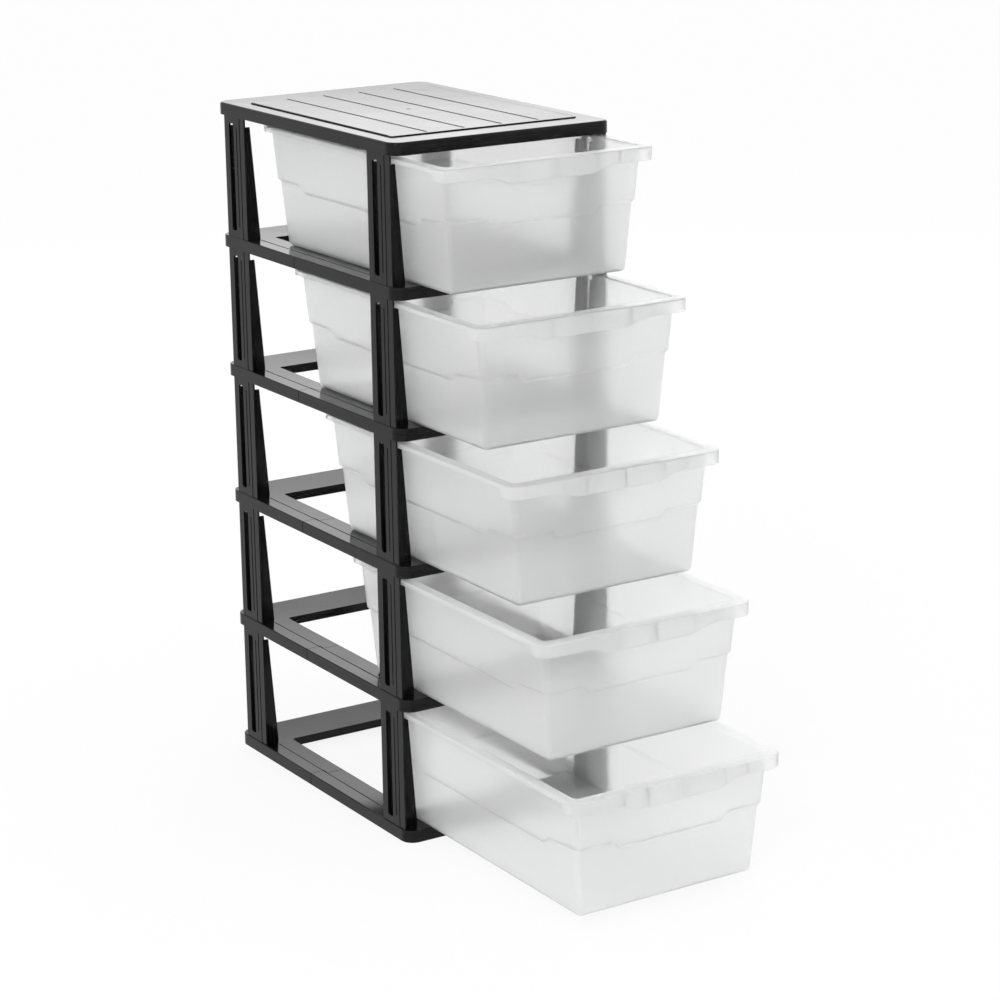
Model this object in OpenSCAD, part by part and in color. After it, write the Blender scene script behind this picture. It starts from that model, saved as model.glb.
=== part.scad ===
// Five-drawer storage tower: shelf rings in two halves, slotted corner posts,
// a planked top panel and five tapered drawers that slide on the rings.
// X runs across the front, the drawers pull out towards -Y, and +Z is up.
// The origin lies on the floor, under the middle of the standing frame.

/* [Frame] */
// Width over the ring skirts
frame_w = 280; // [260:1:340]
// Depth over the ring skirts
frame_d = 404; // [360:1:470]
// Outer corner radius of the rings and the top panel
corner_r = 15; // [12:1:22]
// Wall of the frame mouldings
frame_wall = 2.5; // [2:0.1:3]
// Height of the skirt round each ring and round the top panel
skirt_h = 14; // [12:0.5:20]
// Height of the skirt round a ring's opening
inner_skirt_h = 10; // [6:0.5:11]
// Width of a ring's side rails
side_rail_w = 38; // [34:1:46]
// Width of a ring's front rail
front_rail_w = 55; // [45:1:70]
// Width of a ring's rear rail
rear_rail_w = 63; // [50:1:78]
// Roundness of the rings' upper edges
ring_edge_r = 1.2; // [0.8:0.1:1.6]
// Distance of the ring seam behind the middle of the frame
seam_y = 23; // [0:1:40]
// Length of the step in the seam
seam_step = 9; // [4:1:14]
// Width of the open seam between two ring halves
seam_gap = 0.9; // [0.3:0.1:1.2]
// Distance of the guide ridge from the outer face of a side rail
ridge_inset = 17; // [15:0.5:21]
// Height of the guide ridge
ridge_h = 0.5; // [0.3:0.1:1]

/* [Posts] */
// Height of a post between two rings
post_h = 141; // [120:1:200]
// Width of a post's outer panel
post_w = 47; // [40:1:56]
// Distance from the ring's front face to the front posts
front_post_inset = 10; // [6:1:16]
// Distance from the ring's rear face to the rear posts
rear_post_inset = 18; // [12:1:24]
// Setback of the post face from the ring skirt
post_setback = 1.3; // [1.2:0.1:2]
// Distance from the panel's front edge to the front web
web_inset = 10.5; // [8:0.5:15]
// Distance from the panel's front edge to the rear web
rear_web_inset = 38; // [37:0.5:41]
// Wall of the webs
web_wall = 2.5; // [1.5:0.1:3]
// Gap between the webs and the side of a drawer
web_clearance = 1; // [0.6:0.1:3]
// Height left free over the webs for a drawer's rim
rim_window = 11.5; // [10:0.5:13]
// Width of the slot in the outer panel
slot_w = 11; // [8:0.5:11.5]
// Distance from the panel's front edge to the slot
slot_inset = 25; // [23:0.5:26]
// Panel left above and below the slot
slot_end = 8; // [6:0.5:16]
// Width of the shallow rebate along the panel's front edge
rebate_w = 11; // [6:0.5:13]
// Depth of the rebate
rebate_depth = 0.5; // [0.3:0.1:0.8]
// Play of the post tabs in their sockets
tab_play = 0.3; // [0.2:0.05:0.5]

/* [Drawers] */
// Length over the rim
drawer_l = 399; // [330:1:403]
// Gap between the rim and the post panels, each side
side_play = 1; // [0.6:0.1:1.8]
// Height of a drawer
drawer_h = 138; // [116:1:196]
// Gap under a drawer's floor
running_gap = 0.3; // [0.2:0.05:0.5]
// Wall and floor of a drawer
drawer_wall = 2.2; // [1.6:0.1:2.6]
// Reach of the rim beyond the side walls
rim_reach = 10.5; // [9:0.1:13]
// Reach of the finger lip beyond the front wall
lip_reach = 13; // [10:0.5:14]
// Reach of the rim beyond the rear wall
rear_reach = 4; // [3.5:0.5:8]
// Height of the rim's skirt at the sides and the rear
rim_skirt = 6; // [4:0.5:7]
// Height of the finger lip near the corners
lip_skirt = 14.5; // [13:0.5:18]
// Height of the finger lip in the middle of the front
grip_skirt = 22; // [19:0.5:28]
// Distance that the finger lip wraps round the front corners
lip_wrap = 22; // [20:1:30]
// Draft of the walls, in millimetres inwards per millimetre of height
draft = 0.07; // [0.04:0.01:0.1]
// Depth of the ledge halfway up the walls
ledge_step = 3; // [2:0.5:5]
// Height over which the wall turns out at the ledge
ledge_turn = 3.6; // [2:0.2:6]
// Height of the ledge near the front corners
ledge_high = 78; // [60:1:84]
// Dip of the ledge in the middle of each wall
ledge_dip = 8; // [2:0.5:14]
// Drop of the ledge from the front to the sides and the rear
ledge_drop = 3; // [0:0.5:6]
// Corner radius of the rim
rim_r = 16; // [14:1:20]
// Corner radius of the wall at its top
wall_r = 8; // [6:0.5:12]
// Corner radius of the wall at the floor
foot_r = 5.5; // [4:0.5:9]

/* [Rest pose] */
// Pull-out of the top drawer
pull_5 = 90; // [0:1:350]
// Pull-out of the second drawer from the top
pull_4 = 153; // [0:1:350]
// Pull-out of the middle drawer
pull_3 = 214; // [0:1:350]
// Pull-out of the second drawer from the bottom
pull_2 = 269; // [0:1:350]
// Pull-out of the bottom drawer
pull_1 = 324; // [0:1:350]

/* [Top panel] */
// Roundness of the upper edge
top_edge_r = 3; // [1.5:0.5:4]
// Height of the raised field
field_h = 1.2; // [0.6:0.1:2]
// Margin of the raised field at the sides
field_side = 21; // [14:1:36]
// Margin of the raised field at the front
field_front = 38; // [24:1:60]
// Margin of the raised field at the rear
field_rear = 46; // [24:1:60]
// Number of planks in the raised field
planks = 5; // [3:1:8]
// Width of the grooves between the planks
groove_w = 1.4; // [0.8:0.1:2]
// Depth of the grooves
groove_depth = 0.9; // [0.4:0.1:1]
// Distance from the grooves' front ends to the edge of the field
groove_stop = 6; // [3:1:12]

/* [Hidden] */
$fn = 48;

black = [0.04, 0.04, 0.045];
frosted = [0.88, 0.89, 0.9, 0.6];

// Frame
pitch = skirt_h + post_h;
channel_h = skirt_h - frame_wall;
opening_w = frame_w - 2 * side_rail_w;
opening_from = front_rail_w - frame_d / 2;
opening_to = frame_d / 2 - rear_rail_w;
opening_r = 4;
inner_wall = 2;
rib_wall = 1.6;
tongue_from = seam_y - seam_step - 16;
tongue_to = seam_y + 10;
ridge_end = 5;

// Posts, with y measured from the panel's front edge
post_x = frame_w / 2 - post_setback;
panel_inner_x = post_x - frame_wall;
web_top = post_h - rim_window;
web_tab_w = 10;
web_tab_h = 8;
web_tab_x = post_x - 3 - web_tab_w;
head_x = frame_w / 2 - 2 * frame_wall - tab_play;
head_w = 16;
head_y = 17;
head_root = 2.2;

// Drawers, with y measured from the front edge of the lip and z from the ring top
rim_half = panel_inner_x - side_play;
wall_half = rim_half - rim_reach;
rim_wall = 2;
flange_wall = 2.2;
lip_stop_gap = 0.5;
closed_y = post_front(-1) + web_inset - lip_stop_gap - lip_wrap;
pulls = [pull_1, pull_2, pull_3, pull_4, pull_5];
lip_ribs = [-101, -70, -40, 9, 59, 88];
lip_rib_wall = 1.8;

// ---------------------------------------------------------------- helpers

module rounded_rect(w, d, r) {
    union() {
        square([w - 2 * r, d], center = true);
        square([w, d - 2 * r], center = true);
        for (x = [-1, 1], y = [-1, 1])
            translate([x * (w / 2 - r), y * (d / 2 - r)]) circle(r);
    }
}

// Section of a slab whose two upper edges are round
module domed_section(w, h, top_r) {
    translate([-w / 2, 0]) square([w, h - top_r]);
    translate([top_r - w / 2, 0]) square([w - 2 * top_r, h]);
    for (s = [-1, 1]) translate([s * (w / 2 - top_r), h - top_r]) circle(top_r);
}

// A slab with round corners whose top edge is rounded all the way round:
// two crossing bars and a turned puck in each corner
module domed_slab(w, d, h, r, top_r) {
    translate([0, d / 2 - r, 0]) rotate([90, 0, 0]) linear_extrude(d - 2 * r) domed_section(w, h, top_r);
    translate([r - w / 2, 0, 0]) rotate([90, 0, 90]) linear_extrude(w - 2 * r) domed_section(d, h, top_r);
    for (x = [-1, 1], y = [-1, 1])
        translate([x * (w / 2 - r), y * (d / 2 - r), 0]) rotate_extrude() intersection() {
            domed_section(2 * r, h, top_r);
            square([r, h]);
        }
}

// ------------------------------------------------------------------ rings

// One ring: a plate with a skirt outside, a lower skirt round its opening,
// and stiffening ribs in the channel between them
module ring() {
    difference() {
        domed_slab(frame_w, frame_d, skirt_h, corner_r, ring_edge_r);
        translate([0, 0, -1]) linear_extrude(skirt_h + 2) opening(0);
        difference() {
            translate([0, 0, -1]) linear_extrude(channel_h + 1)
                rounded_rect(frame_w - 2 * frame_wall, frame_d - 2 * frame_wall, corner_r - frame_wall);
            translate([0, 0, skirt_h - inner_skirt_h]) linear_extrude(skirt_h) opening(inner_wall);
            channel_ribs();
        }
        post_sockets();
    }
    guide_ridges();
}

// Plan of the ring's opening, grown by margin
module opening(margin) {
    translate([0, (opening_from + opening_to) / 2])
        rounded_rect(opening_w + 2 * margin, opening_to - opening_from + 2 * margin, opening_r + margin);
}

module channel_ribs() {
    rib_z = skirt_h - inner_skirt_h;
    // across the side rails: two before the tongues and one behind them
    side_y = [
        (2 * opening_from + tongue_from) / 3,
        (opening_from + 2 * tongue_from) / 3,
        (tongue_to + opening_to) / 2
    ];
    for (s = [-1, 1], y = side_y)
        translate([s * (frame_w - side_rail_w) / 2 - side_rail_w / 2, y, rib_z])
            cube([side_rail_w, rib_wall, inner_skirt_h]);
    // along the front and rear rails
    for (x = [-1, 0, 1]) {
        translate([x * opening_w / 4, -frame_d / 2, rib_z]) cube([rib_wall, front_rail_w, inner_skirt_h]);
        translate([x * opening_w / 4, opening_to, rib_z]) cube([rib_wall, rear_rail_w, inner_skirt_h]);
    }
}

// Square holes through the plate for the tabs under the webs of each post
module post_sockets() {
    for (s = [-1, 1], end = [-1, 1], w = [web_inset, rear_web_inset]) {
        y = post_front(end) + w;
        translate([s < 0 ? -web_tab_x - web_tab_w - tab_play : web_tab_x - tab_play, y - tab_play, 0])
            cube([web_tab_w + 2 * tab_play, web_wall + 2 * tab_play, skirt_h + 1]);
    }
}

// Low round ridges along the side rails, outside the drawer's floor
module guide_ridges() {
    from = post_front(-1) + post_w + ridge_end;
    to = post_front(1) - ridge_end;
    for (s = [-1, 1])
        translate([s * (frame_w / 2 - ridge_inset), to, skirt_h - 1]) rotate([90, 0, 0])
            linear_extrude(to - from) intersection() {
                translate([0, ridge_h - 0.2]) circle(1.2);
                translate([-2, 0]) square([4, 1 + ridge_h]);
            }
}

// Plan outline of everything in front of the stepped seam, pulled back by gap
module seam_side(gap) {
    inner = frame_w / 2 - ridge_inset;
    outer = frame_w / 2 + 1;
    front = -frame_d / 2 - 1;
    near = seam_y - seam_step - gap;
    far = seam_y - gap;
    polygon([
        [-outer, front], [outer, front], [outer, far], [inner + gap, far], [inner + gap, near],
        [-inner - gap, near], [-inner - gap, far], [-outer, far]
    ]);
}

module front_half() {
    intersection() {
        ring();
        translate([0, 0, -1]) linear_extrude(skirt_h + 4) seam_side(seam_gap / 2);
    }
}

// The rear half also carries the tongues that slide under the front half's plate
module rear_half() {
    difference() {
        ring();
        translate([0, 0, -1]) linear_extrude(skirt_h + 4) seam_side(-seam_gap / 2);
    }
    tongue_w = side_rail_w - frame_wall - inner_wall - 2;
    for (s = [-1, 1])
        translate([s * (frame_w / 2 - frame_wall - 1 - tongue_w / 2) - tongue_w / 2, 0, channel_h - 2]) {
            translate([0, tongue_from, 0]) cube([tongue_w, tongue_to - tongue_from, 2 - tab_play / 2]);
            // root that is part of the rear half's plate
            translate([0, seam_y + 1, 0]) cube([tongue_w, tongue_to - seam_y - 1, 3]);
        }
}

module ring_half(level, front) {
    color(black) translate([0, 0, level * pitch]) {
        if (front) front_half();
        else rear_half();
    }
}

// ------------------------------------------------------------------ posts

// Front edge of the front posts (end = -1) and of the rear posts (end = 1)
function post_front(end) =
    end < 0 ? front_post_inset - frame_d / 2 : frame_d / 2 - rear_post_inset - post_w;

// Distance from the middle to the inner edge of a web at height z
function web_edge(z) = wall_half - draft * (drawer_h + running_gap - z) + web_clearance;

// A web stands across the tower and follows the taper of the drawer beside it
module web() {
    rotate([90, 0, 0]) mirror([0, 0, 1]) linear_extrude(web_wall)
        polygon([
            [web_edge(0), 0], [post_x - 1, 0], [post_x - 1, post_h],
            [panel_inner_x, post_h], [panel_inner_x, web_top], [web_edge(web_top), web_top]
        ]);
    translate([web_tab_x, 0, -web_tab_h]) cube([web_tab_w, web_wall, web_tab_h + 1]);
}

module slot_cut() {
    h = post_h - 2 * slot_end;
    r = 3;
    translate([post_x + 1, slot_inset + slot_w / 2, post_h / 2]) rotate([90, 0, -90])
        linear_extrude(frame_wall + 2) rounded_rect(slot_w, h, r);
}

// A right-hand post with its panel's front edge at y = 0
module post() {
    difference() {
        union() {
            translate([panel_inner_x, 0, 0]) cube([frame_wall, post_w, post_h]);
            // raised rib beside the slot
            translate([post_x - 0.5, slot_inset - 6, post_h / 2]) rotate([0, 90, 0])
                linear_extrude(1) rounded_rect(post_h - 24, 2.4, 1);
        }
        slot_cut();
        translate([post_x - rebate_depth, -1, -1]) cube([1, rebate_w + 1, post_h + 2]);
    }
    translate([0, web_inset, 0]) web();
    translate([0, rear_web_inset, 0]) web();
    // head that stands up inside the skirt of the ring above
    translate([head_x, head_y, post_h - head_root]) cube([frame_wall, head_w, head_root + channel_h]);
}

module tower_post(tier, side, end) {
    color(black) translate([0, post_front(end), (tier - 1) * pitch + skirt_h])
        mirror([side < 0 ? 1 : 0, 0, 0]) post();
}

// -------------------------------------------------------------- top panel

module top_panel() {
    field_w = frame_w - 2 * field_side;
    field_d = frame_d - field_front - field_rear;
    field_y = (field_front - field_rear) / 2;
    plank = field_w / planks;
    color(black) translate([0, 0, 5 * pitch]) difference() {
        union() {
            domed_slab(frame_w, frame_d, skirt_h, corner_r, top_edge_r);
            translate([0, field_y, skirt_h - 1])
                domed_slab(field_w, field_d, field_h + 1, 4, field_h * 0.6);
        }
        difference() {
            translate([0, 0, -1]) linear_extrude(channel_h + 1)
                rounded_rect(frame_w - 2 * frame_wall, frame_d - 2 * frame_wall, corner_r - frame_wall);
            for (i = [1 : planks - 1])
                translate([-field_w / 2 + i * plank - rib_wall / 2, -frame_d / 2, 5])
                    cube([rib_wall, frame_d, channel_h]);
            for (y = [post_front(-1) + post_w + 8, post_front(1) - 8])
                translate([-frame_w / 2, y - rib_wall / 2, 5]) cube([frame_w, rib_wall, channel_h]);
        }
        for (i = [1 : planks - 1])
            translate([-field_w / 2 + i * plank - groove_w / 2, field_y - field_d / 2 + groove_stop,
                       skirt_h + field_h - groove_depth])
                cube([groove_w, field_d, groove_depth + 1]);
        // moulding gate
        translate([0, 0, skirt_h + field_h - 0.3]) cylinder(r = 2.5, h = 1);
    }
}

// ---------------------------------------------------------------- drawers

function smooth(t) = let (c = min(max(t, 0), 1)) c * c * (3 - 2 * c);

// Height of the ledge at a place along a side: high near the corners, low between them,
// and lower along the sides and the rear than at the front
ledge_wave_x = 64;
ledge_run_x = 11;
ledge_front_y = 69;
ledge_front_run = 17;
ledge_rear_inset = 77;
ledge_rear_y = drawer_l - ledge_rear_inset;
ledge_rear_run = 23;
function ledge_z(side, along) =
    let (dip = side % 2 == 0
            ? smooth((ledge_wave_x + ledge_run_x - abs(along)) / ledge_run_x)
            : smooth((along - ledge_front_y) / ledge_front_run)
              * smooth((ledge_rear_y + ledge_rear_run - along) / ledge_rear_run),
         drop = side == 0 ? 0 : side == 2 ? 1 : smooth((along - rim_r) / (ledge_front_y - rim_r)))
    ledge_high - ledge_dip * dip - ledge_drop * drop;

// Height of the skirt under the rim at a place along a side
grip_half = 50;
grip_run = 26;
function skirt_at(side, along) =
    side == 0 ? lip_skirt + (grip_skirt - lip_skirt) * (1 - smooth((abs(along) - grip_half) / grip_run))
    : side != 2 && along < lip_wrap ? lip_skirt
    : rim_skirt;

// Stations round the drawer, as [side, place along it] or [corner, angle]:
// sides are 0 front, 1 right, 2 rear, 3 left
corner_steps = 4;
function spread(from, to, n) = [for (i = [0 : n]) from + (to - from) * i / n];
front_places = concat(spread(-grip_half - grip_run, -ledge_wave_x, 4), [-57, -grip_half]);
front_all = concat(front_places, [for (i = [len(front_places) - 1 : -1 : 0]) -front_places[i]]);
rear_places = spread(-ledge_wave_x - ledge_run_x, -ledge_wave_x, 3);
rear_all = concat(rear_places, [for (i = [len(rear_places) - 1 : -1 : 0]) -rear_places[i]]);
side_all = concat([lip_wrap - 0.8, lip_wrap],
                  spread(ledge_front_y, ledge_front_y + ledge_front_run, 3),
                  spread(ledge_rear_y, ledge_rear_y + ledge_rear_run, 4));
side_back = [for (i = [len(side_all) - 1 : -1 : 0]) side_all[i]];

stations = concat(
    [for (x = front_all) ["side", 0, x]],
    [for (i = [0 : corner_steps]) ["corner", 0, -90 + 90 * i / corner_steps]],
    [for (y = side_all) ["side", 1, y]],
    [for (i = [0 : corner_steps]) ["corner", 1, 90 * i / corner_steps]],
    [for (i = [len(rear_all) - 1 : -1 : 0]) ["side", 2, rear_all[i]]],
    [for (i = [0 : corner_steps]) ["corner", 2, 90 + 90 * i / corner_steps]],
    [for (y = side_back) ["side", 3, y]],
    [for (i = [0 : corner_steps]) ["corner", 3, 180 + 90 * i / corner_steps]]
);

// Keeps a side station between the round corners of an outline that is shorter than the rim
function between_corners(y, from, to) =
    y < ledge_front_y ? ledge_front_y - (ledge_front_y - y) * (ledge_front_y - from) / (ledge_front_y - rim_r)
    : y > ledge_rear_y ? ledge_rear_y + (y - ledge_rear_y) * (to - ledge_rear_y) / (drawer_l - rim_r - ledge_rear_y)
    : y;

// Plan point of a station on a rounded rectangle from y0 to y1 and half width a
function plan(s, a, y0, y1, r) =
    s[0] == "side"
    ? (s[1] == 0 ? [s[2], y0] : s[1] == 2 ? [s[2], y1]
       : [s[1] == 1 ? a : -a, between_corners(s[2], y0 + r, y1 - r)])
    : let (cx = s[1] < 2 ? a - r : r - a, cy = s[1] == 0 || s[1] == 3 ? y0 + r : y1 - r)
      [cx + r * cos(s[2]), cy + r * sin(s[2])];

// Heights of the ledge and of the skirt at a station
function station_ledge(s) =
    s[0] == "side" ? ledge_z(s[1], s[2])
    : ledge_high - (s[1] == 0 || s[1] == 3 ? 0 : ledge_drop);
function station_skirt(s) =
    s[0] == "corner" ? (s[1] == 0 || s[1] == 3 ? lip_skirt : rim_skirt)
    : skirt_at(s[1], s[2]);

// A point on the wall, inset from the outer face, at height z on the upper or lower wall
function wall_point(s, z, upper, inset) =
    let (back = draft * (drawer_h - z) + (upper ? 0 : ledge_step) + inset,
         r = max((upper ? wall_r : foot_r) - inset, 3))
    concat(plan(s, wall_half - back, lip_reach + back, drawer_l - rear_reach - back, r), [z]);

function rim_point(s, z, inset) =
    concat(plan(s, rim_half - inset, inset, drawer_l - inset, rim_r - inset), [z]);

// Section of the moulding at a station, from under the floor round to the floor inside
function section(s) =
    let (ledge = station_ledge(s),
         skirt = drawer_h - station_skirt(s),
         under = drawer_h - flange_wall,
         turn = ledge_turn / 2,
         t = drawer_wall)
    [
        wall_point(s, 0, false, 3.5),
        wall_point(s, 1, false, 1),
        wall_point(s, 3.5, false, 0),
        wall_point(s, ledge - turn, false, 0),
        wall_point(s, ledge + turn, true, 0),
        wall_point(s, under, true, 0),
        rim_point(s, under, rim_wall),
        rim_point(s, skirt, rim_wall),
        rim_point(s, skirt, 0),
        rim_point(s, drawer_h - 1, 0),
        rim_point(s, drawer_h, 1),
        wall_point(s, drawer_h, true, t - 0.8),
        wall_point(s, drawer_h - 1, true, t),
        wall_point(s, ledge + turn + 0.8, true, t),
        wall_point(s, ledge - turn + 0.8, false, t),
        wall_point(s, t + 3.5, false, t),
        wall_point(s, t, false, t + 3.5)
    ];

module tray() {
    sections = [for (s = stations) section(s)];
    n = len(sections);
    m = len(sections[0]);
    points = [for (ring = sections, p = ring) p];
    centre = [[0, drawer_l / 2, 0], [0, drawer_l / 2, drawer_wall]];
    walls = [for (i = [0 : n - 1], j = [0 : m - 2])
        let (k = (i + 1) % n) [i * m + j, i * m + j + 1, k * m + j + 1, k * m + j]];
    under = [for (i = [0 : n - 1]) [n * m, i * m, ((i + 1) % n) * m]];
    inside = [for (i = [0 : n - 1]) [n * m + 1, ((i + 1) % n) * m + m - 1, i * m + m - 1]];
    polyhedron(points = concat(points, centre), faces = concat(walls, under, inside), convexity = 8);
}

// Short ribs between the front wall and the finger lip
module lip_rib(x) {
    depth = skirt_at(0, x);
    translate([x - lip_rib_wall / 2, rim_wall / 2, drawer_h - depth])
        cube([lip_rib_wall, lip_reach - rim_wall / 2 + draft * depth + drawer_wall / 2, depth - 1]);
}

module drawer(tier) {
    color(frosted) translate([0, closed_y - pulls[tier - 1], (tier - 1) * pitch + skirt_h + running_gap]) {
        tray();
        for (x = lip_ribs) lip_rib(x);
    }
}

// ------------------------------------------------------------------ nodes

top_panel();

ring_half(0, true);  // base_front_half
ring_half(0, false);  // base_rear_half
ring_half(1, true);  // shelf_1_front_half
ring_half(1, false);  // shelf_1_rear_half
ring_half(2, true);  // shelf_2_front_half
ring_half(2, false);  // shelf_2_rear_half
ring_half(3, true);  // shelf_3_front_half
ring_half(3, false);  // shelf_3_rear_half
ring_half(4, true);  // shelf_4_front_half
ring_half(4, false);  // shelf_4_rear_half

tower_post(1, -1, -1);  // post_1_front_left
tower_post(1, 1, -1);  // post_1_front_right
tower_post(1, -1, 1);  // post_1_rear_left
tower_post(1, 1, 1);  // post_1_rear_right
tower_post(2, -1, -1);  // post_2_front_left
tower_post(2, 1, -1);  // post_2_front_right
tower_post(2, -1, 1);  // post_2_rear_left
tower_post(2, 1, 1);  // post_2_rear_right
tower_post(3, -1, -1);  // post_3_front_left
tower_post(3, 1, -1);  // post_3_front_right
tower_post(3, -1, 1);  // post_3_rear_left
tower_post(3, 1, 1);  // post_3_rear_right
tower_post(4, -1, -1);  // post_4_front_left
tower_post(4, 1, -1);  // post_4_front_right
tower_post(4, -1, 1);  // post_4_rear_left
tower_post(4, 1, 1);  // post_4_rear_right
tower_post(5, -1, -1);  // post_5_front_left
tower_post(5, 1, -1);  // post_5_front_right
tower_post(5, -1, 1);  // post_5_rear_left
tower_post(5, 1, 1);  // post_5_rear_right

drawer(1);  // drawer_1
drawer(2);  // drawer_2
drawer(3);  // drawer_3
drawer(4);  // drawer_4
drawer(5);  // drawer_5
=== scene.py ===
"""A five-drawer storage tower: glossy black rings, slotted posts and a planked top, with frosted drawers."""
import math

import bmesh
import bpy
from bpy.props import FloatProperty, FloatVectorProperty, PointerProperty
from mathutils import Matrix, Vector


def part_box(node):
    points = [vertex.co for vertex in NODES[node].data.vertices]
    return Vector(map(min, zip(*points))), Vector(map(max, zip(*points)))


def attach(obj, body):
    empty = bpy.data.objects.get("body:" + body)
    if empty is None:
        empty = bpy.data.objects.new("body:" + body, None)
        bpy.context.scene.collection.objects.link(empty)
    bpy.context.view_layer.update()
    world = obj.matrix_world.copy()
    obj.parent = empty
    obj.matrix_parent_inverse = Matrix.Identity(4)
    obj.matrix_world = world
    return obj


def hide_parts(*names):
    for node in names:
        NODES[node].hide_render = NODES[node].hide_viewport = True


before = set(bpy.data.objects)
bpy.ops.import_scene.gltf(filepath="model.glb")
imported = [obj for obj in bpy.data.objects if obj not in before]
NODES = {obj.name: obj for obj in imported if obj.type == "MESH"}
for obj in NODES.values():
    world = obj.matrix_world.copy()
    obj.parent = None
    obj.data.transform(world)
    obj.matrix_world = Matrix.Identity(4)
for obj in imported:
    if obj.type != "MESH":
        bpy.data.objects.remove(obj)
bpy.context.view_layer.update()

bl_info = {
    "name": "Drawer Tower",
    "version": (1, 0, 0),
    "blender": (4, 5, 0),
    "location": "View3D > Sidebar > Drawer Tower",
    "description": "Dresses a plastic drawer tower with moulded drawers, polished plastic and a studio",
    "category": "Add Mesh",
}

MM = 0.001
TIERS = 5
RING_NAMES = ["base"] + [f"shelf_{k}" for k in range(1, TIERS)]
HALVES = [f"{ring}_{end}_half" for ring in RING_NAMES for end in ("front", "rear")]
POSTS = [
    f"post_{tier}_{end}_{side}"
    for tier in range(1, TIERS + 1)
    for end in ("front", "rear")
    for side in ("left", "right")
]
DRAWERS = [f"drawer_{tier}" for tier in range(1, TIERS + 1)]


def size(node):
    """Length, width and height of a node of the frame, in metres."""
    low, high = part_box(node)
    return high - low


DRAWER_SIZE = size("drawer_1")


# ---------------------------------------------------------------- settings

class DrawerSizes(bpy.types.PropertyGroup):
    """Sizes of one drawer."""
    wall: FloatProperty(name="Wall", description="Wall and floor thickness",
                        default=2.2 * MM, unit="LENGTH")
    rim_reach: FloatProperty(name="Rim reach", description="Reach of the rim beyond the side walls",
                             default=10.5 * MM, unit="LENGTH")
    lip_reach: FloatProperty(name="Lip reach", description="Reach of the finger lip beyond the front wall",
                             default=13 * MM, unit="LENGTH")
    rear_reach: FloatProperty(name="Rear reach", description="Reach of the rim beyond the rear wall",
                              default=4 * MM, unit="LENGTH")
    rim_skirt: FloatProperty(name="Rim skirt", description="Height of the skirt under the side and rear rim",
                             default=6 * MM, unit="LENGTH")
    lip_skirt: FloatProperty(name="Lip skirt", description="Height of the finger lip near the corners",
                             default=14.5 * MM, unit="LENGTH")
    grip_skirt: FloatProperty(name="Grip skirt", description="Height of the finger lip in the middle",
                              default=22 * MM, unit="LENGTH")
    lip_wrap: FloatProperty(name="Lip wrap", description="How far the finger lip wraps round the corners",
                            default=22 * MM, unit="LENGTH")
    draft: FloatProperty(name="Draft", description="Lean of the walls, as a slope", default=0.07)
    ledge_step: FloatProperty(name="Ledge step", description="Depth of the ledge round the walls",
                              default=3 * MM, unit="LENGTH")
    ledge_high: FloatProperty(name="Ledge height", description="Height of the ledge near the front corners",
                              default=78 * MM, unit="LENGTH")
    ledge_dip: FloatProperty(name="Ledge dip", description="Dip of the ledge in the middle of each wall",
                             default=8 * MM, unit="LENGTH")
    ledge_drop: FloatProperty(name="Ledge drop", description="Drop of the ledge from the front to the sides",
                              default=3 * MM, unit="LENGTH")
    rim_radius: FloatProperty(name="Rim radius", description="Corner radius of the rim",
                              default=16 * MM, unit="LENGTH")
    wall_radius: FloatProperty(name="Wall radius", description="Corner radius of the wall at its top",
                               default=8 * MM, unit="LENGTH")
    foot_radius: FloatProperty(name="Foot radius", description="Corner radius of the wall at the floor",
                               default=5.5 * MM, unit="LENGTH")


class Finishes(bpy.types.PropertyGroup):
    """Colours and gloss of the two plastics."""
    black: FloatVectorProperty(name="Black plastic", description="Colour of the frame's plastic",
                               subtype="COLOR", size=3, min=0, max=1, default=(0.0025, 0.0025, 0.0027))
    black_worn: FloatVectorProperty(name="Paler black",
                                    description="Colour of the flow lines in the frame's plastic",
                                    subtype="COLOR", size=3, min=0, max=1, default=(0.009, 0.009, 0.0095))
    black_gloss: FloatProperty(name="Black roughness", description="Roughness of the frame's plastic",
                               default=0.12)
    frosted: FloatVectorProperty(name="Frosted plastic", description="Colour of the drawers' plastic",
                                 subtype="COLOR", size=3, min=0, max=1, default=(0.992, 0.994, 0.996))
    frost: FloatProperty(name="Frost", description="Roughness of the drawers' plastic", default=0.55)
    clearness: FloatProperty(name="Clearness", description="Share of light that a drawer's wall lets through",
                             default=0.7)


class StudioSettings(bpy.types.PropertyGroup):
    """The camera, the lights and the floor."""
    eye: FloatVectorProperty(name="Eye", description="Place of the camera", subtype="TRANSLATION",
                             size=3, default=(-1.6868, -2.8551, 1.266))
    azimuth: FloatProperty(name="Azimuth", description="Turn of the camera to the right of straight ahead",
                           default=math.radians(32.254), subtype="ANGLE")
    elevation: FloatProperty(name="Elevation", description="Tilt of the camera below the horizon",
                             default=math.radians(15.758), subtype="ANGLE")
    roll: FloatProperty(name="Roll", description="Roll of the camera", default=math.radians(-0.793),
                        subtype="ANGLE")
    lens: FloatProperty(name="Lens", description="Focal length in millimetres on a 36 mm sensor",
                        default=106.0)
    floor_size: FloatProperty(name="Floor size", description="Side of the floor", default=30,
                              unit="LENGTH")


# ---------------------------------------------------------------- shader maths

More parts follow.
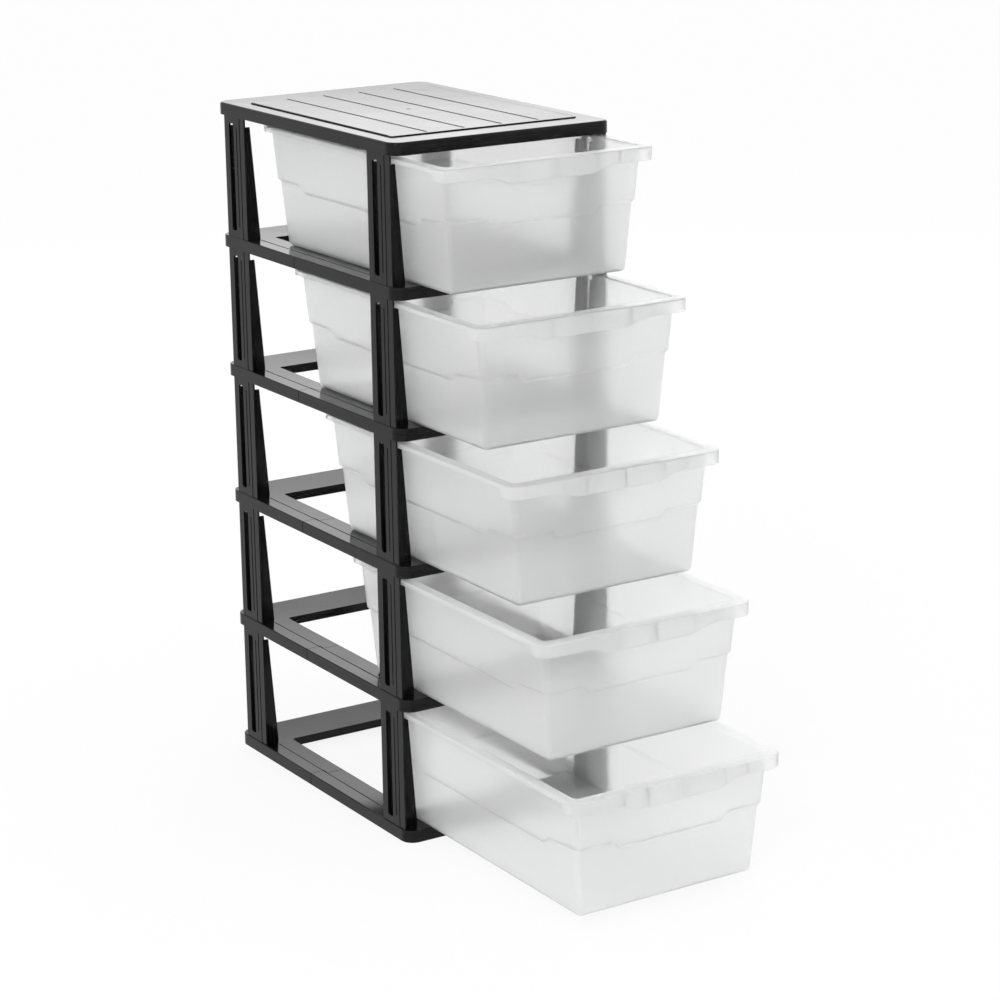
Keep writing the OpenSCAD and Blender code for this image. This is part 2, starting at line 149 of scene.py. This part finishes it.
class Value:
    """A number that varies over a surface. An expression on values adds Math nodes."""

    def __init__(self, tree, socket):
        self.tree = tree
        self.socket = socket

    def math(self, operation, *terms):
        node = self.tree.nodes.new("ShaderNodeMath")
        node.operation = operation
        for socket, term in zip(node.inputs, terms):
            if isinstance(term, Value):
                self.tree.links.new(term.socket, socket)
            else:
                socket.default_value = term
        return Value(self.tree, node.outputs[0])

    def __add__(self, other):
        return self.math("ADD", self, other)

    def __radd__(self, other):
        return self.math("ADD", other, self)

    def __sub__(self, other):
        return self.math("SUBTRACT", self, other)

    def __rsub__(self, other):
        return self.math("SUBTRACT", other, self)

    def __mul__(self, other):
        return self.math("MULTIPLY", self, other)

    def __rmul__(self, other):
        return self.math("MULTIPLY", other, self)

    def absolute(self):
        return self.math("ABSOLUTE", self)

    def to_nearest(self, spacing):
        """Distance to the nearest of the places that lie a spacing apart, from zero on."""
        return self.math("PINGPONG", self, spacing / 2)


class Finish:
    """A node tree under construction, for a material or the world."""

    def __init__(self, owner):
        owner.use_nodes = True
        self.tree = owner.node_tree
        self.tree.nodes.clear()

    def node(self, kind, settings=None, **values):
        """Adds a node. Settings come first, then its sockets' values or links, named with _ for a space."""
        node = self.tree.nodes.new("ShaderNode" + kind)
        for name, value in (settings or {}).items():
            setattr(node, name, value)
        for name, value in values.items():
            socket = node.inputs[name.replace("_", " ")]
            if isinstance(value, Value):
                self.tree.links.new(value.socket, socket)
            elif isinstance(value, bpy.types.NodeSocket):
                self.tree.links.new(value, socket)
            else:
                socket.default_value = value
        return node

    def value(self, node, output):
        return Value(self.tree, node.outputs[output])

    def mapped(self, value, low, high, to_low, to_high):
        """A value carried from one range to another, and held at its ends."""
        node = self.node("MapRange", Value=value, From_Min=low, From_Max=high, To_Min=to_low, To_Max=to_high)
        return self.value(node, "Result")

    def noise(self, scale, detail=2.0, where=None):
        where = where or self.node("TexCoord").outputs["Object"]
        node = self.node("TexNoise", Vector=where, Scale=scale, Detail=detail)
        return self.value(node, "Fac")

    def colours(self, factor, first, second):
        node = self.node("Mix", {"data_type": "RGBA"})
        for name, value in (("Factor", factor), ("A", first), ("B", second)):
            socket = next(s for s in node.inputs if s.name == name and s.enabled)
            if isinstance(value, (Value, bpy.types.NodeSocket)):
                self.tree.links.new(getattr(value, "socket", value), socket)
            else:
                socket.default_value = value
        return next(s for s in node.outputs if s.enabled)

    def surface(self, shader, kind="Material"):
        out = self.node("Output" + kind)
        self.tree.links.new(shader, out.inputs["Surface"])


def rgba(colour):
    return (*colour, 1.0)


def new_material(name):
    return bpy.data.materials.get(name) or bpy.data.materials.new(name)


# Half widths over which a groove of the top panel and the painted shade of a ring's seam fade out.
GROOVE_EDGE, GROOVE_FADE = 0.5 * MM, 2.2 * MM
SEAM_EDGE, SEAM_FADE = 0.6 * MM, 1.1 * MM
# How far a groove's softened end reaches, and how far behind a skirt's face the seam's painted shade fades
# in.
GROOVE_END = 1 * MM
SKIRT_INNER, SKIRT_OUTER = 1.2 * MM, 1 * MM
# Height that one unit of bump stands for, and the depth of a groove's softening in that unit.
BUMP_UNIT = 0.1 * MM
GROOVE_LEAN = 12


def polished_black(finishes, name, flow, planks=None, seam=None):
    """Polished polypropylene: near black, cloudy in its gloss, with the flow lines of a moulding.

    flow is the count of lines in a metre along each axis. planks, a tuple of first groove, pitch, front end
    and rear end, softens the edges of the grooves. seam, a tuple of half the width and the place along,
    paints shade into the gap between the halves of a ring, as a metallic strip that darkens the reflection
    there."""
    material = new_material(name)
    finish = Finish(material)
    place = finish.node("TexCoord").outputs["Object"]
    axes = finish.node("SeparateXYZ", Vector=place)
    across, along = finish.value(axes, "X"), finish.value(axes, "Y")
    cloud = finish.noise(scale=9, detail=3)
    fine = finish.noise(scale=260, detail=2)
    stretched = finish.node("Mapping", Vector=place, Scale=flow).outputs["Vector"]
    lines = finish.noise(scale=1, detail=3, where=stretched)
    colour = finish.colours(finish.mapped(lines * 0.6 + cloud * 0.4, 0.36, 0.64, 0, 1),
                            rgba(finishes.black), rgba(finishes.black_worn))
    roughness = finishes.black_gloss + (cloud - 0.5) * 0.1 + (fine - 0.5) * 0.05
    height = finish.noise(scale=14, detail=1) + fine * 0.02 + lines * 0.2
    painted_seam_shade = 0.0
    if planks:
        first, pitch, front, rear = planks
        groove = finish.mapped((across - first).to_nearest(pitch), GROOVE_EDGE, GROOVE_FADE, 1, 0)
        within = (finish.mapped(along, front - GROOVE_END, front + GROOVE_END, 0, 1)
                  * finish.mapped(along, rear - GROOVE_END, rear + GROOVE_END, 1, 0))
        height = height - groove * within * GROOVE_LEAN
    # Painted shade: a metallic strip along the seam between a ring's halves darkens its reflection, standing
    # in for the shade inside the gap.
    if seam:
        half, middle = seam
        outside = finish.mapped(across.absolute(), half - SKIRT_INNER, half - SKIRT_OUTER, 0, 1)
        painted_seam_shade = finish.mapped((along - middle).absolute(), SEAM_EDGE, SEAM_FADE, 1, 0) * outside
    bump = finish.node("Bump", Strength=1.0, Distance=BUMP_UNIT, Height=height)
    shader = finish.node(
        "BsdfPrincipled", Base_Color=colour, Metallic=painted_seam_shade, Roughness=roughness, IOR=1.25,
        Normal=bump.outputs["Normal"],
    )
    finish.surface(shader.outputs[0])
    return material


def frosted_clear(finishes):
    """Milky, translucent polypropylene: what stands close behind a wall shows through it softly."""
    material = new_material("frosted_clear")
    finish = Finish(material)
    cloud = finish.noise(scale=12, detail=3)
    grain = finish.noise(scale=900, detail=1)
    clear = tuple(finishes.frosted)
    duller = tuple(c * 0.985 for c in clear)
    colour = finish.colours(cloud, rgba(clear), rgba(duller))
    roughness = finishes.frost + (cloud - 0.5) * 0.06
    bump = finish.node("Bump", Strength=0.04, Distance=1 * MM, Height=grain * 0.2 + cloud)
    shader = finish.node(
        "BsdfPrincipled", Base_Color=colour, Roughness=roughness, IOR=1.06,
        Transmission_Weight=finishes.clearness, Subsurface_Weight=1.0, Subsurface_Scale=0.02,
        Subsurface_Radius=(1, 1, 1), Coat_Weight=0.3, Coat_Roughness=0.15, Coat_IOR=1.45,
        Normal=bump.outputs["Normal"],
    )
    finish.surface(shader.outputs[0])
    return material


# ---------------------------------------------------------------- mesh tools

def smooth_step(t):
    t = min(max(t, 0.0), 1.0)
    return t * t * (3 - 2 * t)


def spread(start, end, steps):
    return [start + (end - start) * i / steps for i in range(steps + 1)]


def round_corner(centre, radius, start, end, steps):
    """Points of an arc in a section, angles in degrees."""
    return [
        (centre[0] + radius * math.cos(math.radians(a)), centre[1] + radius * math.sin(math.radians(a)))
        for a in spread(start, end, steps)
    ]


def finished_object(name, mesh):
    piece = bpy.data.objects.new(name, mesh)
    bpy.context.scene.collection.objects.link(piece)
    return piece


def even_normals(piece):
    """Smooth shading that keeps broad flat faces flat."""
    for polygon in piece.data.polygons:
        polygon.use_smooth = True
    weights = piece.modifiers.new("even_normals", "WEIGHTED_NORMAL")
    weights.mode = "FACE_AREA"
    weights.weight = 50
    weights.keep_sharp = True


# ---------------------------------------------------------------- drawers

LEDGE_WAVE_X = 64 * MM
LEDGE_RUN_X = 11 * MM
LEDGE_FRONT_Y = 69 * MM
LEDGE_FRONT_RUN = 17 * MM
LEDGE_REAR_RUN = 23 * MM
LEDGE_REAR_INSET = 77 * MM
GRIP_HALF = 50 * MM
GRIP_RUN = 26 * MM
LEDGE_TURN = 4.6 * MM
LEDGE_LIFT = 0.8 * MM
WRAP_END_RUN = 0.8 * MM
PLAIN_FROM = 40 * MM
PLAIN_WALL_FROM = 120 * MM
PLAIN_WALL_INSET = 30 * MM
LEAST_CORNER = 3 * MM
SKIRT_WALL = 2 * MM
FLANGE_WALL = 2.2 * MM
FOOT_ROUND = 5 * MM
RIM_ROUND = 1.1 * MM
LIP_ROUND = 0.7 * MM
WALL_FILLET, WALL_FILLET_MIDDLE = 1.6 * MM, 0.5 * MM
SKIRT_FILLET, SKIRT_FILLET_MIDDLE = 1.2 * MM, 0.4 * MM
LIP_RIBS = (-101, -70, -40, 9, 59, 88)
LIP_RIB_WALL = 1.8 * MM
LIP_RIB_SHORT = 1.5 * MM
LIP_RIB_GAP = 0.05 * MM
FRONT, RIGHT, REAR, LEFT = range(4)


class Station:
    """A place on the way round a drawer: on a straight side, or on a corner that starts that side."""

    def __init__(self, side, along=None, angle=None):
        self.side = side
        self.along = along
        self.angle = angle


class DrawerShape:
    """The drawer's outline at any height, worked out from its sizes."""

    def __init__(self, sizes, extent):
        self.s = sizes
        self.length = extent.y
        self.height = extent.z
        self.rim_half = extent.x / 2
        self.wall_half = self.rim_half - sizes.rim_reach
        self.ledge_rear = self.length - LEDGE_REAR_INSET

    def stations(self, corner_steps=12):
        s = self.s
        edge = GRIP_HALF + GRIP_RUN
        ledge_edge = LEDGE_WAVE_X + LEDGE_RUN_X
        front = sorted(set(spread(-edge, -GRIP_HALF, 12) + spread(-ledge_edge, -LEDGE_WAVE_X, 8)
                           + spread(-GRIP_HALF, GRIP_HALF, 4) + spread(LEDGE_WAVE_X, ledge_edge, 8)
                           + spread(GRIP_HALF, edge, 12)))
        rear = spread(-ledge_edge, -LEDGE_WAVE_X, 8) + spread(LEDGE_WAVE_X, ledge_edge, 8)
        side = ([s.lip_wrap - WRAP_END_RUN, s.lip_wrap, PLAIN_FROM]
                + spread(LEDGE_FRONT_Y, LEDGE_FRONT_Y + LEDGE_FRONT_RUN, 8)
                + spread(PLAIN_WALL_FROM, self.ledge_rear - PLAIN_WALL_INSET, 3)
                + spread(self.ledge_rear, self.ledge_rear + LEDGE_REAR_RUN, 12))
        ways = {FRONT: front, RIGHT: side, REAR: rear[::-1], LEFT: side[::-1]}
        found = []
        for way in (FRONT, RIGHT, REAR, LEFT):
            found += [Station(way, along=place) for place in ways[way]]
            found += [Station(way, angle=-90 + 90 * way + turn) for turn in spread(0, 90, corner_steps)]
        return found

    def ledge(self, station):
        s = self.s
        side, along = station.side, station.along
        if along is None:
            dip = 0
            drop = 0 if side in (FRONT, LEFT) else 1
        elif side in (FRONT, REAR):
            dip = smooth_step((LEDGE_WAVE_X + LEDGE_RUN_X - abs(along)) / LEDGE_RUN_X)
            drop = 0 if side == FRONT else 1
        else:
            dip = (smooth_step((along - LEDGE_FRONT_Y) / LEDGE_FRONT_RUN)
                   * smooth_step((self.ledge_rear + LEDGE_REAR_RUN - along) / LEDGE_REAR_RUN))
            drop = smooth_step((along - s.rim_radius) / (LEDGE_FRONT_Y - s.rim_radius))
        return s.ledge_high - s.ledge_dip * dip - s.ledge_drop * drop

    def skirt(self, station):
        s = self.s
        if station.angle is not None:
            return s.lip_skirt if station.side in (FRONT, LEFT) else s.rim_skirt
        if station.side == FRONT:
            drop = 1 - smooth_step((abs(station.along) - GRIP_HALF) / GRIP_RUN)
            return s.lip_skirt + (s.grip_skirt - s.lip_skirt) * drop
        if station.side != REAR and station.along < s.lip_wrap:
            return s.lip_skirt
        return s.rim_skirt

    def between_corners(self, along, start, end):
        """Keeps a side station between the round corners of an outline that is shorter than the rim."""
        if along < LEDGE_FRONT_Y:
            share = (LEDGE_FRONT_Y - along) / (LEDGE_FRONT_Y - self.s.rim_radius)
            return LEDGE_FRONT_Y - share * (LEDGE_FRONT_Y - start)
        if along > self.ledge_rear:
            share = (along - self.ledge_rear) / (self.length - self.s.rim_radius - self.ledge_rear)
            return self.ledge_rear + share * (end - self.ledge_rear)
        return along

    def outline(self, station, half, front, rear, radius):
        """A point on a rounded rectangle from front to rear."""
        if station.angle is not None:
            x = (half - radius) * (1 if station.side in (FRONT, RIGHT) else -1)
            y = front + radius if station.side in (FRONT, LEFT) else rear - radius
            turn = math.radians(station.angle)
            return x + radius * math.cos(turn), y + radius * math.sin(turn)
        if station.side == FRONT:
            return station.along, front
        if station.side == REAR:
            return station.along, rear
        y = self.between_corners(station.along, front + radius, rear - radius)
        return (half if station.side == RIGHT else -half), y

    def on_wall(self, station, z, lower, inset):
        """lower is 1 on the wall under the ledge and 0 above it."""
        s = self.s
        back = s.draft * (self.height - z) + lower * s.ledge_step + inset
        radius = max(s.wall_radius + (s.foot_radius - s.wall_radius) * lower - inset, LEAST_CORNER)
        x, y = self.outline(station, self.wall_half - back, s.lip_reach + back,
                            self.length - s.rear_reach - back, radius)
        return Vector((x, y, z))

    def on_rim(self, station, z, inset):
        x, y = self.outline(station, self.rim_half - inset, inset, self.length - inset,
                            self.s.rim_radius - inset)
        return Vector((x, y, z))

    def ledge_turn(self, station, inset, lift, upwards):
        """The rounded step of the ledge, as points from the lower wall to the upper one."""
        middle = self.ledge(station) + lift
        steps = [(t, middle + (t - 0.5) * LEDGE_TURN) for t in spread(0, 1, 6)]
        points = [self.on_wall(station, z, 1 - smooth_step(t), inset) for t, z in steps]
        return points if upwards else points[::-1]

    def section(self, station):
        """Section of the moulding, from under the floor round to the floor inside."""
        wall = self.s.wall
        top = self.height
        skirt = top - self.skirt(station)
        under = top - FLANGE_WALL
        inner_foot = FOOT_ROUND - wall
        points = [self.on_wall(station, FOOT_ROUND + v, 1, -u)
                  for u, v in round_corner((-FOOT_ROUND, 0), FOOT_ROUND, 270, 360, 6)]
        points += self.ledge_turn(station, 0, 0, True)
        points.append(self.on_wall(station, under - WALL_FILLET, 0, 0))
        points.append(self.on_wall(station, under - WALL_FILLET_MIDDLE, 0, -WALL_FILLET_MIDDLE))
        points.append(self.on_wall(station, under, 0, -WALL_FILLET))
        points.append(self.on_rim(station, under, SKIRT_WALL + SKIRT_FILLET))
        points.append(self.on_rim(station, under - SKIRT_FILLET_MIDDLE, SKIRT_WALL + SKIRT_FILLET_MIDDLE))
        points.append(self.on_rim(station, under - SKIRT_FILLET, SKIRT_WALL))
        points += [self.on_rim(station, skirt + LIP_ROUND + v, SKIRT_WALL - LIP_ROUND - u)
                   for u, v in round_corner((0, 0), LIP_ROUND, 180, 270, 3)]
        points += [self.on_rim(station, skirt + LIP_ROUND + v, LIP_ROUND - u)
                   for u, v in round_corner((0, 0), LIP_ROUND, 270, 360, 3)]
        points += [self.on_rim(station, top - RIM_ROUND + v, RIM_ROUND - u)
                   for u, v in round_corner((0, 0), RIM_ROUND, 0, 90, 4)]
        points += [self.on_wall(station, top - RIM_ROUND + v, 0, wall - RIM_ROUND - u)
                   for u, v in round_corner((0, 0), RIM_ROUND, 90, 180, 4)]
        points += self.ledge_turn(station, wall, LEDGE_LIFT, False)
        points += [self.on_wall(station, wall + inner_foot + v, 1, wall - u)
                   for u, v in round_corner((-inner_foot, 0), inner_foot, 360, 270, 5)]
        return points

    def mesh(self):
        made = bmesh.new()
        rows = [[made.verts.new(p) for p in self.section(station)] for station in self.stations()]
        for row, after in zip(rows, rows[1:] + rows[:1]):
            for a, b, c, d in zip(row, row[1:], after[1:], after):
                made.faces.new((a, b, c, d))
        middle = self.length / 2
        for index, height in ((0, 0.0), (-1, self.s.wall)):
            centre = made.verts.new((0, middle, height))
            for row, after in zip(rows, rows[1:] + rows[:1]):
                made.faces.new((centre, row[index], after[index]))
        bmesh.ops.remove_doubles(made, verts=made.verts, dist=0.01 * MM)
        bmesh.ops.recalc_face_normals(made, faces=made.faces)
        for x in LIP_RIBS:
            self.add_lip_rib(made, x * MM)
        mesh = bpy.data.meshes.new("drawer_moulding")
        made.to_mesh(mesh)
        made.free()
        return mesh

    def add_lip_rib(self, made, x):
        """A thin rib between the front wall and the finger lip."""
        depth = self.skirt(Station(FRONT, along=x)) - LIP_RIB_SHORT
        low = self.height - depth
        high = self.height - FLANGE_WALL - LIP_RIB_GAP
        front = SKIRT_WALL + LIP_RIB_GAP
        rear = self.s.lip_reach + self.s.draft * FLANGE_WALL - LIP_RIB_GAP
        corners = [(x + side * LIP_RIB_WALL / 2, y, z)
                   for side in (-1, 1) for y in (front, rear) for z in (low, high)]
        made_corners = [made.verts.new(c) for c in corners]
        for face in ((0, 1, 3, 2), (4, 6, 7, 5), (0, 4, 5, 1), (2, 3, 7, 6), (0, 2, 6, 4), (1, 5, 7, 3)):
            made.faces.new([made_corners[i] for i in face])


class TOWER_OT_drawers(bpy.types.Operator):
    """Builds the five frosted drawers on their slides"""
    bl_idname = "tower.drawers"
    bl_label = "Drawers"

    def execute(self, context):
        shape = DrawerShape(context.scene.tower_drawer, DRAWER_SIZE)
        mesh = shape.mesh()
        material = frosted_clear(context.scene.tower_finishes)
        mesh.materials.append(material)
        for node in DRAWERS:
            low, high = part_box(node)
            piece = finished_object(f"{node}_moulding", mesh)
            piece.location = (0, low.y, low.z)
            even_normals(piece)
            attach(piece, node)
            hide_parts(node)
        return {"FINISHED"}


# ---------------------------------------------------------------- frame

# First groove, pitch, front end and rear end of the grooves in the top panel.
PLANKS = (-119 * MM, 47.6 * MM, -157 * MM, 156 * MM)
# Half the width of a ring, and the place of the seam between its halves, where shade is painted into the gap.
SEAM = (140 * MM, 23 * MM)


class TOWER_OT_frame(bpy.types.Operator):
    """Polishes the rings, the posts and the top panel"""
    bl_idname = "tower.frame"
    bl_label = "Rings, posts and top"

    def execute(self, context):
        finishes = context.scene.tower_finishes
        blacks = (
            (HALVES, polished_black(finishes, "ring_black", (5, 5, 420), seam=SEAM)),
            (POSTS, polished_black(finishes, "post_black", (420, 420, 5))),
            (["top_panel"], polished_black(finishes, "panel_black", (5, 5, 420), planks=PLANKS)),
        )
        for nodes, material in blacks:
            for node in nodes:
                mesh = NODES[node].data
                mesh.materials.clear()
                mesh.materials.append(material)
        return {"FINISHED"}


# ---------------------------------------------------------------- studio

# The floor lies this far under the part, and shows this share of plain white; the rest is lit and shaded.
FLOOR_DROP = 0.5 * MM
FLOOR_GLOW = 0.86
# Where the softboxes point, and each one's place, width, height and power.
LOOK_AT = (0, -0.1, 0.4)
SOFTBOXES = {
    "key_softbox": ((-2.3, -2.2, 2.2), 1.0, 0.8, 30),
    "rear_softbox": ((1.64, 2.6, 1.8), 2.6, 1.2, 15),
}


def studio_floor(settings):
    """A pale floor that shows white and keeps a soft shadow."""
    mesh = bpy.data.meshes.new("floor")
    half = settings.floor_size / 2
    corners = [(-half, -half, 0), (half, -half, 0), (half, half, 0), (-half, half, 0)]
    mesh.from_pydata(corners, [], [(0, 1, 2, 3)])
    floor = finished_object("floor", mesh)
    floor.location.z = -FLOOR_DROP
    material = new_material("pale_floor")
    finish = Finish(material)
    rays = finish.node("LightPath")
    grain = finish.noise(scale=40)
    pale = finish.colours(grain, (0.88, 0.88, 0.88, 1), (0.9, 0.9, 0.9, 1))
    shaded = finish.node("BsdfDiffuse", Color=pale)
    white = finish.node("Emission", Color=(1, 1, 1, 1), Strength=1.0)
    seen = (finish.value(rays, "Is Camera Ray") + finish.value(rays, "Is Transmission Ray")
            + finish.value(rays, "Is Glossy Ray"))
    mixed = finish.node("MixShader", Fac=finish.mapped(seen, 0, 1, 0, FLOOR_GLOW))
    finish.tree.links.new(shaded.outputs[0], mixed.inputs[1])
    finish.tree.links.new(white.outputs[0], mixed.inputs[2])
    finish.surface(mixed.outputs[0])
    mesh.materials.append(material)


def studio_world():
    """A plain white surround, which also lights the object softly from all sides."""
    world = bpy.context.scene.world or bpy.data.worlds.new("studio")
    bpy.context.scene.world = world
    finish = Finish(world)
    shell = finish.node("Background", Color=(1, 1, 1, 1), Strength=1.0)
    finish.surface(shell.outputs[0], "World")


def softbox(name, place, width, height, power):
    lamp = bpy.data.lights.new(name, "AREA")
    lamp.shape = "RECTANGLE"
    lamp.size = width
    lamp.size_y = height
    lamp.energy = power
    box = bpy.data.objects.new(name, lamp)
    bpy.context.scene.collection.objects.link(box)
    box.location = place
    box.rotation_euler = (Vector(LOOK_AT) - Vector(place)).to_track_quat("-Z", "Y").to_euler()
    box.visible_camera = False
    box.visible_transmission = False


def studio_camera(settings):
    azimuth, elevation, roll = settings.azimuth, settings.elevation, settings.roll
    ahead = Vector((math.sin(azimuth) * math.cos(elevation), math.cos(azimuth) * math.cos(elevation),
                    -math.sin(elevation)))
    right = ahead.cross(Vector((0, 0, 1))).normalized()
    up = right.cross(ahead)
    turned_right = right * math.cos(roll) + up * math.sin(roll)
    turned_up = up * math.cos(roll) - right * math.sin(roll)
    camera = bpy.data.objects.new("camera", bpy.data.cameras.new("camera"))
    bpy.context.scene.collection.objects.link(camera)
    axes = Matrix((turned_right, turned_up, -ahead)).transposed()
    camera.matrix_world = Matrix.Translation(settings.eye) @ axes.to_4x4()
    camera.data.lens = settings.lens
    camera.data.sensor_width = 36
    bpy.context.scene.camera = camera


class TOWER_OT_studio(bpy.types.Operator):
    """Sets up the floor, the white surround, the softboxes and the camera"""
    bl_idname = "tower.studio"
    bl_label = "Studio"

    def execute(self, context):
        settings = context.scene.tower_studio
        studio_floor(settings)
        studio_world()
        for name, (place, width, height, power) in SOFTBOXES.items():
            softbox(name, place, width, height, power)
        studio_camera(settings)
        context.scene.view_settings.view_transform = "Standard"
        return {"FINISHED"}


# ---------------------------------------------------------------- panel

class TOWER_PT_panel(bpy.types.Panel):
    """Lists the steps that build the tower"""
    bl_idname = "TOWER_PT_panel"
    bl_label = "Drawer Tower"
    bl_space_type = "VIEW_3D"
    bl_region_type = "UI"
    bl_category = "Drawer Tower"

    def draw(self, context):
        for step in STEPS:
            self.layout.operator(step.bl_idname)


STEPS = [TOWER_OT_studio, TOWER_OT_frame, TOWER_OT_drawers]
GROUPS = {"tower_drawer": DrawerSizes, "tower_finishes": Finishes, "tower_studio": StudioSettings}
CLASSES = list(GROUPS.values()) + STEPS + [TOWER_PT_panel]


def register():
    for kind in CLASSES:
        bpy.utils.register_class(kind)
    for name, group in GROUPS.items():
        setattr(bpy.types.Scene, name, PointerProperty(type=group))


def unregister():
    for name in GROUPS:
        delattr(bpy.types.Scene, name)
    for kind in reversed(CLASSES):
        bpy.utils.unregister_class(kind)


def main():
    register()
    bpy.ops.tower.studio()
    bpy.ops.tower.frame()
    bpy.ops.tower.drawers()


if __name__ == "__main__":
    main()
